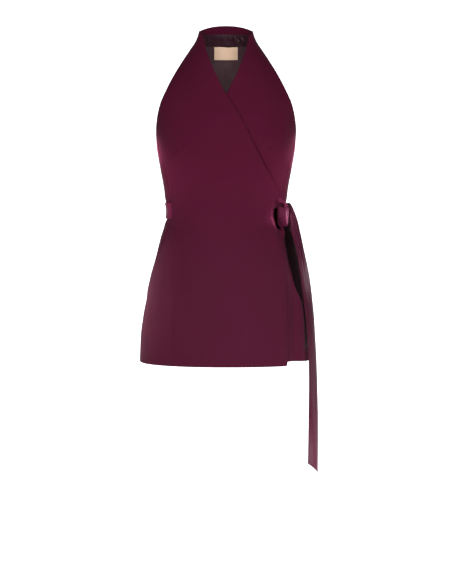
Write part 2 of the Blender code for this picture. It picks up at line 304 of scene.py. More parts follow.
def along_line(angle, height, start, end):
    """Distance off a line on the cloth, share of its length, and its length."""
    across, up = arc(*end) - arc(*start), end[1] - start[1]
    long = math.hypot(across, up)
    run, rise = across / long, up / long
    x, up = past(angle, height, start, across / 2), height - start[1]
    return x * rise - up * run, (x * run + up * rise) / long, long


def creased(angle, height, folds):
    total = np.zeros(np.broadcast(angle, height).shape)
    for crease in folds:
        off, share, long = along_line(
            angle, height, (crease.angle0, crease.height0), (crease.angle1, crease.height1)
        )
        inside = np.clip(share, 0, 1)
        off = off - crease.bow * long * (4 * inside * (1 - inside))
        fade = np.sin(np.pi * inside**0.85) ** 0.8
        total += crease.depth * fade * bell(off, crease.width * (0.7 + 0.5 * inside))
    return total


def ridged(off, ridges):
    return sum(rise * bell(off - at, width) for at, width, rise in ridges)


def tucked(angle, height, tucks, side=1):
    """What tucks add, at their own or their mirrored angles."""
    relief = np.zeros(np.shape(angle))
    for tuck in tucks:
        x = past(angle, height, (side * float(tuck.angle), tuck.height))
        relief -= tuck.depth * bell(np.hypot(x / tuck.wide, (height - tuck.height) / tuck.tall), 1)
    return relief


def sewn(angle, height, start, end, depth, width):
    """A sewn line: a narrow valley between two low swells."""
    off, share, long = along_line(angle, height, start, end)
    valley = [(0, 5 * width, 0.35 * depth), (0, width, -depth)]
    return ridged(off, valley) * between(share * long, 1.5, long - 1.5, 1.5)


# Folds that every layer follows.
FOLDS = creases(
    (-58, 332, -36, 352, 6, 1.0), (-58, 284, -34, 262, 7, -1.0), (-56, 274, -40, 236, 8, 0.9),
    (44, 316, 8, 322, 10, -0.5), (45, 288, 16, 266, 10, -0.7), (47, 334, 20, 360, 10, -0.5),
    (50, 262, 38, 210, 9, 0.8), (42, 236, 41, 20, 11, -1.1, 0.0), (36, 220, 35, 4, 16, 0.7, 0.0),
    (-16, 210, -20, -10, 34, 1.2), (14, 190, 16, -10, 30, -1.2), (-44, 190, -47, -10, 22, -1.1),
    (-66, 180, -68, -10, 16, 1.1), (60, 200, 62, -10, 12, 0.8), (-52, 520, -34, 620, 16, -0.8),
    (54, 520, 36, 620, 16, -0.8), (-30, 540, -40, 640, 12, 0.6), (32, 540, 40, 640, 12, 0.6),
    (108, 334, 136, 350, 7, -1.3), (112, 288, 138, 268, 7, -1.3), (126, 304, 152, 262, 9, 1.1),
    (224, 352, 250, 336, 7, -1.3), (226, 266, 250, 286, 7, -1.3), (208, 262, 236, 300, 9, 1.1),
    (164, 344, 192, 350, 9, -1.1), (168, 284, 198, 272, 9, -1.2), (150, 356, 144, 520, 20, -1.3),
    (210, 352, 216, 530, 20, -1.2), (180, 420, 184, 600, 26, 0.9), (136, 220, 131, -10, 24, 1.7),
    (158, 200, 155, -10, 24, -1.6), (184, 210, 188, -10, 28, 1.8), (214, 200, 220, -10, 22, -1.5),
    (240, 210, 248, -10, 22, 1.6), (262, 180, 266, -10, 16, -1.2), (108, 180, 104, -10, 18, -1.2),
)
BACK_FULLNESS = 0.6
BACK_FULL = (110, 250, 12)


def drape(angle, height):
    full = 1 + BACK_FULLNESS * between(np.asarray(angle) % 360, *BACK_FULL)
    return full * creased(angle, height, FOLDS)


# ---- meshes

PIECE_ENDING = "_cloth"
# Grid lines beside a free edge, which is round, and beside a sewn one.
EDGE_LINES = (0.0, 0.08, 0.3, 0.65, 1.2, 2.4)
SEWN_LINES = (0.0, 0.6, 1.2, 2.0, 3.4)


def grid_normals(points, closed=False):
    if closed:
        across = np.roll(points, -1, 1) - np.roll(points, 1, 1)
    else:
        across = np.gradient(points, axis=1)
    return unit(np.cross(across, np.gradient(points, axis=0)))


def edge_distance(points, closed=False):
    nearest = np.full(points.shape[:2], np.inf)
    for axis in (0,) if closed else (0, 1):
        along = lengths(points, axis)
        far = np.take(along, [-1], axis=axis) - along
        nearest = np.minimum(nearest, np.minimum(along, far))
    return nearest


def round_edge(distance, thickness):
    """Half the wall at a distance from a free edge."""
    share = np.clip(distance / (thickness / 2), 0, 1)
    return thickness / 2 * np.sqrt(1 - (1 - share) ** 2)


def numbered(grid, closed):
    """The numbers of a grid's points. A closed one repeats its first column."""
    number = np.arange(grid.shape[0] * grid.shape[1]).reshape(grid.shape[:2])
    return np.hstack([number, number[:, :1]]) if closed else number


def grid_faces(number):
    corners = number[:-1, :-1], number[:-1, 1:], number[1:, 1:], number[1:, :-1]
    return np.stack(corners, -1).reshape(-1, 4).tolist()


def laid_flat(grid):
    return np.stack([lengths(grid, 1), lengths(grid, 0)], -1)


def shell(name, middle, thickness, finish, closed=False):
    """A closed piece of cloth on a grid of middle points. Its second face takes every other line."""
    rows, columns = middle.shape[:2]
    half = round_edge(edge_distance(middle, closed), thickness)[..., None]
    normals = grid_normals(middle, closed)
    number = numbered(middle, closed)
    faces = grid_faces(number)
    last = number.shape[1] - 1
    low_rows = sorted({*range(0, rows, 2), rows - 1})
    low_columns = sorted({*range(0, last + 1, 2), last})
    behind, kept = {}, []
    for r in low_rows:
        for c in low_columns:
            if r in (0, rows - 1) or (not closed and c in (0, last)):
                behind[r, c] = int(number[r, c])
            elif closed and c == last:
                behind[r, c] = behind[r, 0]
            else:
                behind[r, c] = rows * columns + len(kept)
                kept.append((r, c))
    for r0, r1 in zip(low_rows, low_rows[1:]):
        for c0, c1 in zip(low_columns, low_columns[1:]):
            ring = [behind[r0, c0]]
            if c0 == 0 and not closed:
                ring += number[r0 + 1 : r1, 0].tolist()
            ring.append(behind[r1, c0])
            if r1 == rows - 1:
                ring += number[r1, c0 + 1 : c1].tolist()
            ring.append(behind[r1, c1])
            if c1 == last and not closed:
                ring += number[r0 + 1 : r1, last][::-1].tolist()
            ring.append(behind[r0, c1])
            if r0 == 0:
                ring += number[0, c0 + 1 : c1][::-1].tolist()
            faces.append(ring)
    picked = tuple(np.array(kept).T)
    first, second, flat = middle + normals * half, middle - normals * half, laid_flat(middle)
    points = np.concatenate([first.reshape(-1, 3), second[picked]])
    add_piece(name, points, faces, finish, np.concatenate([flat.reshape(-1, 2), flat[picked]]))


def tube(name, rings, finish):
    """A closed solid round rings of points, with flat ends."""
    number = numbered(rings, True)
    faces = grid_faces(number) + [number[0, :-1][::-1].tolist(), number[-1, :-1].tolist()]
    add_piece(name, rings.reshape(-1, 3), faces, finish, laid_flat(rings).reshape(-1, 2))


def add_object(name, data):
    made = bpy.data.objects.new(name, data)
    bpy.context.scene.collection.objects.link(made)
    return made


def add_piece(name, points, faces, finish, flat):
    """The visual piece of the node with this name."""
    mesh = bpy.data.meshes.new(name + PIECE_ENDING)
    mesh.from_pydata(((points - ORIGIN) * MM).tolist(), [], faces)
    mesh.polygons.foreach_set("use_smooth", [True] * len(mesh.polygons))
    layer = mesh.uv_layers.new(name="cloth")
    loops = np.empty(len(mesh.loops), np.int32)
    mesh.loops.foreach_get("vertex_index", loops)
    layer.data.foreach_set("uv", (flat[loops] * MM).astype(np.float32).ravel())
    mesh.materials.append(finish.material)
    obj = add_object(mesh.name, mesh)
    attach(obj, "root")
    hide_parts(name)


# ---- materials

WHITE = (1, 1, 1, 1)
Finish = namedtuple("Finish", "material slot")
# How a cloth takes light. Its sheen has the bloom's colour.
Surface = namedtuple(
    "Surface", "roughness sheen specular yarn relief stretch bloom", defaults=((1, 1, 1), (1, 0.82, 0.86))
)
# The dye's unevenness is broad by this share, and its noise mostly in this range.
BROAD_SHARE = 0.6
NOISE_RANGE = (0.36, 0.64)
# The crepe is painted paler between these heights, in metres from the nape: a painted haze of light towards
# the hem.
PAINTED_HAZE_HEIGHTS = (-0.30, -0.52)


def wire(tree, node, inputs):
    """Gives a node's inputs their values, or links them to other nodes."""
    for name, value in inputs.items():
        if isinstance(value, bpy.types.NodeSocket):
            tree.links.new(value, node.inputs[name])
        else:
            node.inputs[name].default_value = value


def add_node(tree, kind, inputs, **settings):
    made = tree.nodes.new("ShaderNode" + kind)
    for name, value in settings.items():
        setattr(made, name, value)
    wire(tree, made, inputs)
    return made.outputs


def math_node(tree, operation, *values):
    return add_node(tree, "Math", dict(enumerate(values)), operation=operation)[0]


def noise(tree, coordinates, scale, detail, stretch=(1, 1, 1)):
    placed = add_node(tree, "Mapping", {"Vector": coordinates, "Scale": stretch})["Vector"]
    return add_node(tree, "TexNoise", {"Vector": placed, "Scale": scale, "Detail": detail})["Fac"]


def spread(tree, value, low, high, to_low=0, to_high=1, kind="LINEAR"):
    limits = {"From Min": low, "From Max": high, "To Min": to_low, "To Max": to_high}
    return add_node(tree, "MapRange", {"Value": value, **limits}, interpolation_type=kind)["Result"]


def mixed(tree, blend, factor, first, second):
    inputs = {"Factor": factor, "A": first, "B": second}
    return add_node(tree, "Mix", inputs, data_type="RGBA", blend_type=blend)["Result"]


def shaded(name):
    made = bpy.data.materials.new(name)
    made.use_nodes = True
    return made, made.node_tree, made.node_tree.nodes["Principled BSDF"]


def cloth_finish(name, slot, low, high, surface, painted_haze=(0, 0, 0)):
    """Woven cloth: an uneven dye, crinkled yarn and a plain weave, under a soft sheen, with a painted haze
    of light towards the hem.
    """
    made, tree, shader = shaded(name)
    coordinates = add_node(tree, "TexCoord", {})
    broad = noise(tree, coordinates["Object"], scale=11, detail=4)
    fine = noise(tree, coordinates["UV"], scale=0.7 / surface.yarn, detail=3, stretch=surface.stretch)
    parts = (broad, BROAD_SHARE), (fine, 1 - BROAD_SHARE)
    uneven = math_node(tree, "ADD", *(math_node(tree, "MULTIPLY", *part) for part in parts))
    colour = mixed(tree, "MIX", spread(tree, uneven, *NOISE_RANGE), (*low, 1), (*high, 1))
    height = add_node(tree, "SeparateXYZ", {0: coordinates["Object"]})["Z"]
    # Painted haze: the colour is painted paler towards the hem, standing in for light.
    painted_haze_colour = mixed(tree, "ADD", spread(tree, height, *PAINTED_HAZE_HEIGHTS), colour, (*painted_haze, 1))
    across = add_node(tree, "SeparateXYZ", {0: coordinates["UV"]})
    threads = [
        math_node(tree, "SINE", math_node(tree, "MULTIPLY", across[axis], 2 * math.pi / surface.yarn))
        for axis in ("X", "Y")
    ]
    woven = math_node(tree, "MULTIPLY", math_node(tree, "MULTIPLY", *threads), 0.3)
    rough = math_node(tree, "ADD", woven, fine)
    bump = {"Strength": surface.relief, "Distance": surface.yarn / 4, "Height": rough}
    look = {
        "Base Color": painted_haze_colour,
        "Normal": add_node(tree, "Bump", bump)["Normal"],
        "Roughness": surface.roughness,
        "Specular IOR Level": surface.specular,
        "Sheen Weight": surface.sheen,
        "Sheen Roughness": 0.4,
        "Sheen Tint": (*surface.bloom, 1),
    }
    wire(tree, shader, look)
    return Finish(made, slot)


TIE_SURFACE = Surface(0.42, 0.06, 0.02, 0.0004, 0.25, (1, 0.2, 1), (1, 0.4, 0.6))
# The crepe's paler colour towards the hem is a painted haze of light.
CREPE = cloth_finish(
    "crepe_cloth", "crepe", (0.067, 0.0058, 0.0205), (0.074, 0.0066, 0.0230),
    Surface(0.75, 0.035, 0.018, 0.0008, 0.5, (1, 1, 1), (1, 0.8, 0.84)), painted_haze=(0.0020, 0.0032, 0.0042),
)
TIE_SATIN = cloth_finish("tie_satin", "satin", (0.120, 0.0125, 0.040), (0.148, 0.017, 0.052), TIE_SURFACE)
# The knot's copy of the tie satin, painted darker than the belt's: painted shade.
KNOT_SATIN_PAINTED_SHADE = cloth_finish(
    "knot_satin_painted_shade", "satin", (0.068, 0.0070, 0.0235), (0.080, 0.0090, 0.029), TIE_SURFACE
)
# The hanging tail's copy of the tie satin, with its own sheen, painted darker than the belt's: painted
# shade.
TAIL_SATIN_PAINTED_SHADE = cloth_finish(
    "tail_satin_painted_shade", "satin", (0.054, 0.0060, 0.0190), (0.070, 0.009, 0.026),
    Surface(0.38, 0.10, 0.05, 0.0004, 0.3, (1, 0.2, 1), (1, 0.55, 0.68)),
)
NECK_SATIN = cloth_finish(
    "neck_satin", "satin", (0.026, 0.0066, 0.0130), (0.042, 0.0110, 0.0210),
    Surface(0.5, 0.03, 0.2, 0.0004, 0.25),
)
LINING_CLOTH = cloth_finish(
    "lining_cloth", "lining", (0.062, 0.029, 0.036), (0.078, 0.037, 0.046),
    Surface(0.45, 0.03, 0.2, 0.0004, 0.25),
)
LABEL_WEAVE = cloth_finish(
    "label_weave", "woven_label", (0.90, 0.63, 0.44), (0.99, 0.71, 0.50),
    Surface(0.85, 0.1, 0.2, 0.0006, 0.9, (1, 0.5, 1)),
)

# ---- panels on the form

# Dense stations along a row, by its share.
DENSE = np.linspace(0, 1, 401)
# A cut's line keeps this share of the row off its ends.
CUT_MARGIN = 0.04


def armhole_edge(height):
    return angle_of(curve(SECTIONS, "outline", height), height)


def armhole_turn(height, armhole):
    turn = np.clip((height - ARMHOLE_BASE) / ARMHOLE_TURN, 0, 1)
    return SEAM_TOP_ANGLE + (armhole - SEAM_TOP_ANGLE) * turn


def side_edge(height):
    """The front's side edge: the side seam, and above it the armhole."""
    start = ARMHOLE_BASE + ARMHOLE_TURN
    corner = armhole_turn(height, armhole_edge(start))
    above = armhole_edge(np.maximum(height, start))
    return np.where(height >= start, above, np.where(height > ARMHOLE_BASE, corner, side_seam(height)))


def slot_shape(height):
    return between(height, *SLOT_BENDS)


def slotted_side(height):
    return side_edge(height) - SLOT_FRONT * slot_shape(height)


def vented_side(height):
    vent = angle_of(curve(VENT_EDGE, "x", height), height)
    return np.where(height < VENT_TOP, vent, side_edge(height))


def front_ends(side):
    """Ends of a right front's rows: angle and height at its side edge, then its wrap edge."""
    rows = [(v, -float(side(v)), v, float(wrap_angle(v)), v) for v in STRAP_ROWS]
    for strap in STRAP:
        outer, neck = (-strap.outer_angle, strap.outer_height), (-strap.neck_angle, strap.neck_height)
        rows.append((STRAP_FROM + strap.rise, *outer, *neck))
    rows = table("v a0 h0 a1 h1", *rows)

    def ends(v):
        body = zip(("a0", "h0", "a1", "h1"), (-side(v), v, wrap_angle(v), v))
        return [np.where(v > STRAP_ROWS[1], curve(rows, name, v), value) for name, value in body]

    return ends


def mirrored(ends):
    def flipped(v):
        a0, h0, a1, h1 = ends(v)
        return [-a1, h1, -a0, h0]

    return flipped


def back_ends(v):
    """Ends of the back's rows: at its left side, where the vent is, then its right one."""
    seam, on_seam = side_seam(v), v <= ARMHOLE_BASE
    side = np.where(on_seam, seam, armhole_turn(v, 180 - side_edge(v)))
    side = side + (SHOULDER_SEAM - side) * eased(v, STRAP_FROM - 3, STRAP[-1].outer_height)
    opened = eased(VENT_TOP - v, 0, VENT_OPENS_OVER)
    left = np.where(on_seam, seam + (BACK_VENT_ANGLE - seam) * opened, side)
    return [left, v, 360 - side - np.where(on_seam, SLOT_BACK * slot_shape(v), 0), v]


def odd(values, axis=0):
    """The same stations with one more in the middle if their number is even."""
    count = values.shape[axis]
    if count % 2:
        return values
    middle = (np.take(values, [count // 2 - 1], axis) + np.take(values, [count // 2], axis)) / 2
    return np.insert(values, [count // 2], middle, axis)


def stations(cuts, step, lines):
    """Places along rows, with fine lines beside each cut, closer on a short row."""
    columns = []
    for k in range(cuts.shape[1] - 1):
        low, high = cuts[:, k], cuts[:, k + 1]
        near, far = np.array(lines[k]), np.array(lines[k + 1])
        shrink = np.minimum(1, (high - low) / (3 * (near[-1] + far[-1])))
        first, last = low + shrink * near[-1], high - shrink * far[-1]
        count = max(2, math.ceil((last - first).max() / step))
        columns += [low + shrink * at for at in near[:-1]]
        columns += [first + (last - first) * i / count for i in range(count + 1)]
        columns += [high - shrink * at for at in far[-2:0:-1]]
    columns.append(cuts[:, -1])
    return odd(np.stack(columns, 1), 1)


def row_heights(zones):
    """Rows through zones of (low, high, step), with fine lines at both ends."""
    low, high = zones[0][0], zones[-1][1]
    heights = [low + at for at in EDGE_LINES]
    for start, stop, step in zones:
        for height in np.arange(start, stop, step):
            if heights[-1] + 0.6 * step < height < high - EDGE_LINES[-1] - 0.6 * step:
                heights.append(height)
    heights += [high - at for at in EDGE_LINES[::-1]]
    return odd(np.array(heights))


def edged(low, high, count):
    """Even places from low to high, and fine ones at both ends."""
    fine = np.array(EDGE_LINES)
    return odd(np.unique(np.concatenate([np.linspace(low, high, count), low + fine, high - fine])))


def shares(edge, inner, count):
    """Places from 0 to 1: the edge's own at both ends, and even ones between."""
    edge = np.asarray(edge, float)
    return np.concatenate([edge, np.linspace(inner, 1 - inner, count), 1 - edge[::-1]])


def panel(ends, v, cuts, step, lines):
    """Angles and heights of a panel's grid. Each cut gives the angle of a line by its height."""
    a0, h0, a1, h1 = (end[:, None] for end in ends(v))
    along = lengths(form_point(a0 + (a1 - a0) * DENSE, h0 + (h1 - h0) * DENSE), 1)
    where = [np.full(len(v), SEAM_GAP / 2)]
    for cut in cuts:
        share = np.clip((cut(v) - a0[:, 0]) / (a1 - a0)[:, 0], CUT_MARGIN, 1 - CUT_MARGIN)
        where.append(np.array([np.interp(s, DENSE, row) for s, row in zip(share, along)]))
    where.append(along[:, -1] - SEAM_GAP / 2)
    places = stations(np.stack(where, 1), step, lines)
    share = np.stack([np.interp(row, dense, DENSE) for row, dense in zip(places, along)])
    return a0 + (a1 - a0) * share, h0 + (h1 - h0) * share


# Zones of a panel's rows as far as the strap: from, to and step.
BODY_ZONES = [(0, 20, 2), (20, 245, 4), (245, 350, 2.2), (350, 395, 3), (395, 445, 1.7), (445, 640, 3.4)]
TOP_STEP = 2.2
FRONT_STEPS = {-1: 2.4, 1: 1.8}

# The waist dart runs straight up at this x, then leans out and on to the strap.
DART_X = 107.5
DART_STRAIGHT_TO = 430.0
DART_OUT = (66.0, 400, 560)
DART_ON = (14.0, 560, 660)
DART_SHOWN = [(-20, 240, 24), (334, 374, 14)]
DART_VALLEY = [(0, 4.5, 0.3), (0, 0.9, -0.7)]
# The bust dart, from foot to tip. The cloth dips at the tip and swells past it.
BUST_DART = ((67.0, 400.0), (35.5, 437.0))
BUST_TUCKS = table(TUCK, (35.5, 437, 2.2, 4.42, 3.4), (31, 449, -0.8, 14, 14))
HEM_LINE = [(7.5, 1.5, -0.25)]
# The cloth dips where the belt's slot ends, and swells a little past that.
SLOT_TUCKS = table(
    TUCK,
    (-66, 333.5, 2.6, 9, 5.5), (-69, 283, 4.0, 13, 7.5), (-56, 344, -0.9, 7, 6), (-56, 272, -0.9, 7, 6),
    (-93, 296, 3.8, 24, 10),
)
# Beside a side seam the turnings lift the cloth a little.
SEAM_ROLL = [(2.2, 1.0, 0.55), (0, 0.7, -0.35)]
SEAM_ROLL_ENDS = (440, 460)

# What both fronts do beside the over front's edge: below the knot, at it and above it.
EDGE_ZONES = table(
    "low high soft over under",
    (-20, 250, 16, [(-14, 8, 1.4), (0, 4, -0.9)], [(39, 8, 1.2), (21, 11, -5.6), (1, 6, -1.5)]),
    (262, 322, 9, [(0, 6, -4.5)], [(4, 7, -3.0)]),
    (340, 560, 12, [(-4, 4, 0.7)], [(1, 3.2, -3.0)]),
)
# The pocket that the under front makes beside the knot, and a shallow one above it.
POCKET_DEPTH = 40.0
POCKET_HEIGHTS = (275, 311, 5)
POCKET_START = 2.5
POCKET_WIDTH = 8.5
POCKET_WIDER_ABOVE = (4.5, 283, 295)
POCKET_WIDER_BELOW = (3.5, 276, 284)
UPPER_DEPTH = 9.0
UPPER_HEIGHTS = (318.5, 322.5, 2)
UPPER_WIDTH = (12, 19, 1.5)
UNDER_DROOP = 2.2
DROOP_ANGLES = (45, 68)
DROOP_HEIGHT = 60


def zones_from(low, top):
    return [(low, *BODY_ZONES[0][1:]), *BODY_ZONES[1:], (BODY_ZONES[-1][1], top, TOP_STEP)]


def waist_dart(side):
    """Where a front's waist dart runs, and its grid line above it."""

    def line(v):
        low = angle_of(np.full(np.shape(v), DART_X), np.minimum(v, DART_STRAIGHT_TO))
        out, on = DART_OUT, DART_ON
        return side * (low + (out[0] - low) * eased(v, *out[1:]) + on[0] * eased(v, *on[1:]))

    return line


def front_relief(angle, height, side, hem):
    """What both fronts share: darts, the bust's dimple and swell, and the pressed hem."""
    off = arc(angle, height) - arc(waist_dart(side)(height), height)
    relief = sum(between(height, *shown) for shown in DART_SHOWN) * ridged(off, DART_VALLEY)
    foot, tip = ((side * dart_angle, dart_height) for dart_angle, dart_height in BUST_DART)
    relief += sewn(angle, height, foot, tip, depth=1.5, width=1.4)
    return relief + tucked(angle, height, BUST_TUCKS, side) + ridged(height - hem, HEM_LINE)


def past_edge(angle, height):
    return arc(angle, height) - arc(wrap_angle(height), height)


def beside_edge(angle, height, layer):
    off = past_edge(angle, height)
    return sum(
        between(height, zone.low, zone.high, zone.soft) * ridged(off, getattr(zone, layer))
        for zone in EDGE_ZONES
    )


def knot_pocket(angle, height):
    """How far the under front folds back, straight into the body, beside the knot."""
    off = past_edge(angle, height)
    above, below = POCKET_WIDER_ABOVE, POCKET_WIDER_BELOW
    far = POCKET_WIDTH + above[0] * eased(height, *above[1:]) + below[0] * (1 - eased(height, *below[1:]))
    wide = eased(off, 0, POCKET_START) * (1 - eased(off, far - 1, far + 1))
    upper = UPPER_DEPTH * between(height, *UPPER_HEIGHTS) * between(off, *UPPER_WIDTH)
    return POCKET_DEPTH * between(height, *POCKET_HEIGHTS) * wide + upper


def seam_roll(angle, height, last):
    """The roll beside the side seam, at the first or the last column."""
    run = lengths(form_point(angle, height), 1)
    away = run[:, -1:] - run if last else run
    return ridged(away, SEAM_ROLL) * (1 - eased(height, *SEAM_ROLL_ENDS))


def front(name, ends, side, layer, hem):
    v = row_heights(zones_from(hem + SEAM_GAP / 2, STRAP_TOP - SEAM_GAP / 2))
    lines = EDGE_LINES, SEWN_LINES, EDGE_LINES
    angle, height = panel(ends, v, [waist_dart(side)], FRONT_STEPS[side], lines)
    relief = drape(angle, height) + front_relief(angle, height, side, hem)
    relief += seam_roll(angle, height, side > 0)
    if side < 0:
        relief += tucked(angle, height, SLOT_TUCKS) + beside_edge(angle, height, "over")
    else:
        relief += beside_edge(angle, height, "under")
        height = height - UNDER_DROOP * eased(angle, *DROOP_ANGLES) * (1 - eased(height, 0, DROOP_HEIGHT))
    points = on_form(angle, height, layer(angle) + CLOTH / 2 + relief)
    if side > 0:
        points[..., 1] += knot_pocket(angle, height)
    shell(name, points, CLOTH, CREPE)


front("front_right", front_ends(slotted_side), -1, over_layer, 0)
front("front_left", mirrored(front_ends(vented_side)), 1, under_layer, UNDER_HEM)

# The back's waist darts, its corner at the vent, which turns in, and its swell on both sides of the belt.
BACK_DARTS = (142.0, 218.0)
BACK_DART_ENDS = (440.0, 150.0)
VENT_TURN_IN = 12.0
VENT_TURN_WIDTH = 15
VENT_TURN_HEIGHTS = (18, 36)
BELT_SIDES = [(338, 9, 0.9), (281, 9, 0.9)]
BELT_SIDES_ANGLES = (66, 294, 4)
LINING_FOLDS = creases(
    (168, 560, 172, 618, 5, 2.7), (176, 540, 178, 616, 4, 2.2), (186, 548, 184, 616, 5, 2.9),
    (196, 560, 192, 640, 5, 2.4), (160, 560, 164, 640, 6, 2.5), (150, 380, 152, 560, 12, 2.0),
    (180, 330, 178, 540, 12, 2.0), (208, 360, 206, 560, 12, 2.0), (130, 20, 134, 300, 14, 2.4),
    (165, 10, 163, 290, 14, 2.2), (196, 20, 200, 300, 14, 2.4), (232, 20, 228, 280, 14, 2.2),
)
LINING_FREE = (2, 14)


def back_relief(angle, height):
    relief = ridged(height, HEM_LINE)
    for dart in BACK_DARTS:
        for end in BACK_DART_ENDS:
            relief += sewn(angle, height, (dart, BELT_HEIGHT), (dart, end), depth=0.6, width=1.0)
    from_vent = arc(angle, height) - arc(BACK_VENT_ANGLE, height)
    turned = bell(from_vent, VENT_TURN_WIDTH) * (1 - eased(height, *VENT_TURN_HEIGHTS))
    swell = between(angle, *BELT_SIDES_ANGLES) * ridged(height, BELT_SIDES)
    return relief - VENT_TURN_IN * turned + swell


def back_fall(angle, height):
    """How far the back and its lining stand off the form together."""
    return drape(angle, height) + back_relief(angle, height) + tucked(angle, height, SLOT_TUCKS)


def back_grid(coarser, step):
    zones = zones_from(SEAM_GAP / 2, NECK_SEAM - SEAM_GAP / 2)
    v = row_heights([(low, high, rise * coarser) for low, high, rise in zones])
    cuts = [lambda h: np.full(h.shape, BACK_DARTS[0]), lambda h: np.full(h.shape, BACK_DARTS[1])]
    return panel(back_ends, v, cuts, step, (EDGE_LINES, SEWN_LINES, SEWN_LINES, EDGE_LINES))


def facing_in(grid):
    """The grid from the other side, so that its fine face looks inwards."""
    return grid[:, ::-1]


def back():
    angle, height = back_grid(coarser=1, step=2.6)
    relief = back_fall(angle, height)
    relief += seam_roll(angle, height, False) + seam_roll(angle, height, True)
    shell("back", on_form(angle, height, back_layer(angle, height) + CLOTH / 2 + relief), CLOTH, CREPE)


def back_lining():
    angle, height = back_grid(coarser=1.5, step=3.6)
    slack = edge_distance(form_point(angle, height))
    inward = creased(angle, height, LINING_FOLDS) * eased(slack, *LINING_FREE)
    offset = back_layer(angle, height) - SEAM_GAP - LINING / 2 + back_fall(angle, height) - inward
    shell("back_lining", facing_in(on_form(angle, height, offset)), LINING, LINING_CLOTH)


back()
back_lining()

# ---- collar, neck lining and label

STAND_MIDDLE = 668.0
# The neck lining's folds, by their distance from the centre back.
PUCKERS = table(
    "x0 height0 x1 height1 width depth",
    (-44, 668, -37, 651, 3.0, -1.4), (-38, 672, -30, 655, 2.6, 1.5), (-30, 666, -28, 650, 2.2, -1.0),
    (-21, 673, -20, 650, 1.9, -1.5), (-15, 672, -5, 660, 3.0, 2.0), (-12, 660, -2, 650, 2.6, -1.0),
    (0, 658, 10, 651, 2.4, 1.7), (5, 673, 9, 662, 2.2, 0.9), (14, 669, 16, 650, 1.9, -1.6),
    (20, 673, 22, 652, 2.4, 1.2), (24, 668, 32, 659, 2.6, -1.5), (28, 655, 46, 651, 2.2, -1.3),
    (34, 671, 40, 657, 2.8, 1.6),
)
# It stands in by this much, and its edges are held.
FULLNESS = 2.0
NECK_LINING_HELD = (0.3, 4)
NECK_LINING_DROP = 5.0
LABEL_WIDTH = 51.0
LABEL_HEIGHTS = (623.2, 649.9)
# The label's top edge dips and rises, and its lower part lifts off the lining.
LABEL_TOP = [(4, 7, 0.7), (-12, 6, -0.3)]
LABEL_LIFT = [(8, 16, 0.5)]


def collar_top(angle):
    return COLLAR_SIDE_TOP + COLLAR_RISE * np.sin(np.radians(angle - 90)) ** COLLAR_ROUNDNESS


def neck_lining_top(angle):
    """A little lower towards the shoulder seams."""
    return NECK_LINING_TOP + SEAM_GAP - NECK_LINING_DROP * np.abs(np.cos(np.radians(angle - 90))) ** 3


def stand_grid(top, step, rise_step):
    """A grid round the back of the neck, from the neck seam up to top(angle)."""
    start, end = SHOULDER_SEAM, 360 - SHOULDER_SEAM
    along = lengths(form_point(start + (end - start) * DENSE, STAND_MIDDLE)[None], 1)[0]
    cuts = np.array([[SEAM_GAP / 2, along[-1] - SEAM_GAP / 2]])
    places = stations(cuts, step, (EDGE_LINES, EDGE_LINES))[0]
    angle = start + (end - start) * np.interp(places, along, DENSE)
    high = top(angle)
    tall = float(high.max() - NECK_SEAM)
    up = row_heights([(SEAM_GAP / 2, tall - SEAM_GAP / 2, rise_step)])
    share = (up - SEAM_GAP / 2) / (tall - SEAM_GAP)
    height = NECK_SEAM + SEAM_GAP / 2 + share[:, None] * (high - SEAM_GAP - NECK_SEAM)
    return np.broadcast_to(angle, height.shape), height


def collar():
    """The stand puckers at the neck seam and is turned over along its top."""
    angle, height = stand_grid(collar_top, step=1.6, rise_step=1.3)
    puckers = 0.25 * np.sin(arc(angle, height) / 5.5) * bell(height - NECK_SEAM, 6)
    turned_edge = 0.3 * between(height, collar_top(angle) - 6, collar_top(angle), 2)
    shell("collar", on_form(angle, height, -CLOTH / 2 + puckers + turned_edge), CLOTH, CREPE)


def neck_lining():
    """The gathered satin inside the stand."""
    angle, height = stand_grid(neck_lining_top, step=1.1, rise_step=0.8)
    slack = edge_distance(form_point(angle, height))
    folds = []
    for p in PUCKERS:
        ends = ((float(back_angle(x, h)), h) for x, h in ((p.x0, p.height0), (p.x1, p.height1)))
        folds.append(Crease(*next(ends), *next(ends), p.width, p.depth))
    run = arc(angle, height)
    ripple = 0.35 * np.sin(run / 2.1 + 1.6 * np.sin(run / 9)) * bell(height - NECK_SEAM, 5)
    inward = np.maximum(1.9 * creased(angle, height, folds) + ripple + FULLNESS, -0.1)
    inward = inward * eased(slack, *NECK_LINING_HELD)
    offset = -CLOTH - SEAM_GAP - LINING / 2 - inward
    shell("neck_lining", facing_in(on_form(angle, height, offset)), LINING, NECK_SATIN)


def label():
    low, high = LABEL_HEIGHTS
    across = edged(-LABEL_WIDTH / 2, LABEL_WIDTH / 2, count=75)
    x, height = np.meshgrid(across, edged(low + SEAM_GAP / 2, high - SEAM_GAP / 2, count=41))
    share_up = (height - low) / (high - low)
    height = height - ridged(x, LABEL_TOP) * share_up
    wave = 0.25 * np.sin(x / 6.5 + 0.6) * share_up + (1 - share_up) ** 3 * ridged(x, LABEL_LIFT)
    offset = -CLOTH - LINING - 3 * SEAM_GAP - LINING / 2 - SEAM_GAP / 2 - wave
    shell("label", facing_in(on_form(back_angle(x, height), height, offset)), LABEL_WALL, LABEL_WEAVE)


collar()
neck_lining()
label()

# ---- tie

